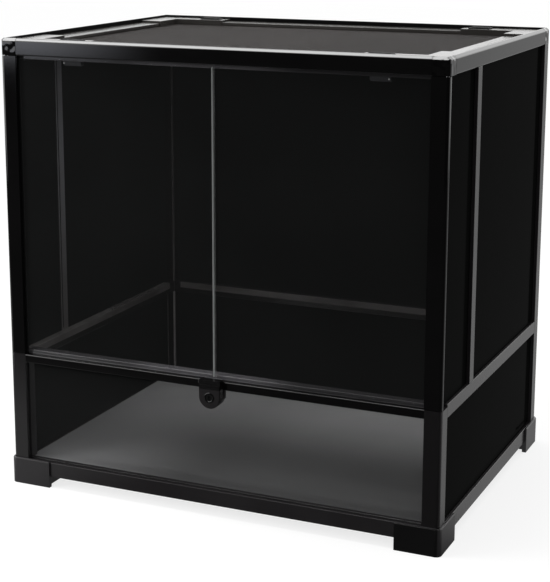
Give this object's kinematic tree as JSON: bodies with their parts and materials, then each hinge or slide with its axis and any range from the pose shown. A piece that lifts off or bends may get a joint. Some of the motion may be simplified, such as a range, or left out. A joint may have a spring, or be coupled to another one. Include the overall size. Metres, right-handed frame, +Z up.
{
  "type": "reptile terrarium",
  "caption": "Front-opening glass reptile terrarium on feet, with a dark flat-pack frame, hinged glass doors, a keyed lock and a latched lift-out net lid.",
  "frame": {"origin": "on the ground, under the centre of the frame", "axes": "+Z up, +X to the right, -Y out of the doors at the front"},
  "size_m": [0.606, 0.4648, 0.6],
  "materials": {
    "frame_plastic": "satin black moulding",
    "foot_plastic": "satin black moulding",
    "lid_plastic": "fine-grained dark moulding",
    "latch_plastic": "satin dark moulding",
    "lock_plastic": "satin black moulding",
    "clear_glass": "polished clear glass",
    "smoked_glass": "dark back-printed glass",
    "floor_glass": "dark base glass",
    "steel": "drawn steel",
    "nickel": "nickel-plated",
    "net_wire": "dark coated wire"
  },
  "bodies": {
    "frame": {"foot_front_left": "foot_plastic", "foot_front_right": "foot_plastic", "foot_back_left": "foot_plastic", "foot_back_right": "foot_plastic", "bottom_rail_front": "frame_plastic", "bottom_rail_back": "frame_plastic", "bottom_rail_left": "frame_plastic", "bottom_rail_right": "frame_plastic", "floor_panel": "floor_glass", "lower_post_front_left": "frame_plastic", "lower_post_front_right": "frame_plastic", "lower_post_back_left": "frame_plastic", "lower_post_back_right": "frame_plastic", "middle_rail_front": "frame_plastic", "middle_rail_back": "frame_plastic", "middle_rail_left": "frame_plastic", "middle_rail_right": "frame_plastic", "lower_pane_front": "clear_glass", "lower_pane_back": "smoked_glass", "lower_pane_left": "smoked_glass", "lower_pane_right": "smoked_glass", "upper_post_back_left": "frame_plastic", "upper_post_back_right": "frame_plastic", "side_upright_left": "frame_plastic", "side_upright_right": "frame_plastic", "upper_pane_back": "smoked_glass", "side_pane_narrow_left": "smoked_glass", "side_pane_narrow_right": "smoked_glass", "side_pane_wide_left": "smoked_glass", "side_pane_wide_right": "smoked_glass", "top_rail_front": "frame_plastic", "top_rail_back": "frame_plastic", "top_rail_left": "frame_plastic", "top_rail_right": "frame_plastic", "top_corner_front_left": "frame_plastic", "top_corner_front_right": "frame_plastic", "top_corner_back_left": "frame_plastic", "top_corner_back_right": "frame_plastic", "lock_housing": "lock_plastic"},
    "left_door": {"left_door_stile": "frame_plastic", "left_door_glass": "clear_glass", "left_door_pins": "steel"},
    "right_door": {"right_door_stile": "frame_plastic", "right_door_glass": "clear_glass", "right_door_pins": "steel"},
    "lock_plug": {"lock_plug": "nickel"},
    "lock_bolt": {"lock_bolt": "steel"},
    "lid": {"lid_rail_front": "lid_plastic", "lid_rail_back": "lid_plastic", "lid_rail_left": "lid_plastic", "lid_rail_right": "lid_plastic", "lid_corner_front_left": "lid_plastic", "lid_corner_front_right": "lid_plastic", "lid_corner_back_left": "lid_plastic", "lid_corner_back_right": "lid_plastic", "lid_net": "net_wire"},
    "latch_front_left": {"lid_latch_front_left": "latch_plastic"},
    "latch_front_right": {"lid_latch_front_right": "latch_plastic"},
    "latch_back_left": {"lid_latch_back_left": "latch_plastic"},
    "latch_back_right": {"lid_latch_back_right": "latch_plastic"}
  },
  "joints": [
    {"name": "left_door_hinge", "type": "hinge", "parent": "frame", "child": "left_door", "pos_m": [-0.2955, -0.2205, 0.38], "axis": [0, 0, -1], "range_deg": [0, 180]},
    {"name": "right_door_hinge", "type": "hinge", "parent": "frame", "child": "right_door", "pos_m": [0.2955, -0.2205, 0.38], "axis": [0, 0, 1], "range_deg": [0, 180]},
    {"name": "lock_plug_turn", "type": "hinge", "parent": "frame", "child": "lock_plug", "pos_m": [0, -0.23, 0.1627], "axis": [0, -1, 0], "range_deg": [0, 90]},
    {"name": "lock_bolt_rise", "type": "slide", "parent": "frame", "child": "lock_bolt", "axis": [0, 0, 1], "range_m": [0, 0.008]},
    {"name": "lid_lift", "type": "slide", "parent": "frame", "child": "lid", "axis": [0, 0, 1], "range_m": [0, 0.15]},
    {"name": "latch_front_left_slide", "type": "slide", "parent": "lid", "child": "latch_front_left", "axis": [0, -1, 0], "range_m": [0, 0.006]},
    {"name": "latch_front_right_slide", "type": "slide", "parent": "lid", "child": "latch_front_right", "axis": [0, -1, 0], "range_m": [0, 0.006]},
    {"name": "latch_back_left_slide", "type": "slide", "parent": "lid", "child": "latch_back_left", "axis": [0, 1, 0], "range_m": [0, 0.006]},
    {"name": "latch_back_right_slide", "type": "slide", "parent": "lid", "child": "latch_back_right", "axis": [0, 1, 0], "range_m": [0, 0.006]}
  ],
  "couplings": [
    {"joint": "lock_plug_turn", "follows": "lock_bolt_rise", "rad_per_m": 196.3}
  ]
}
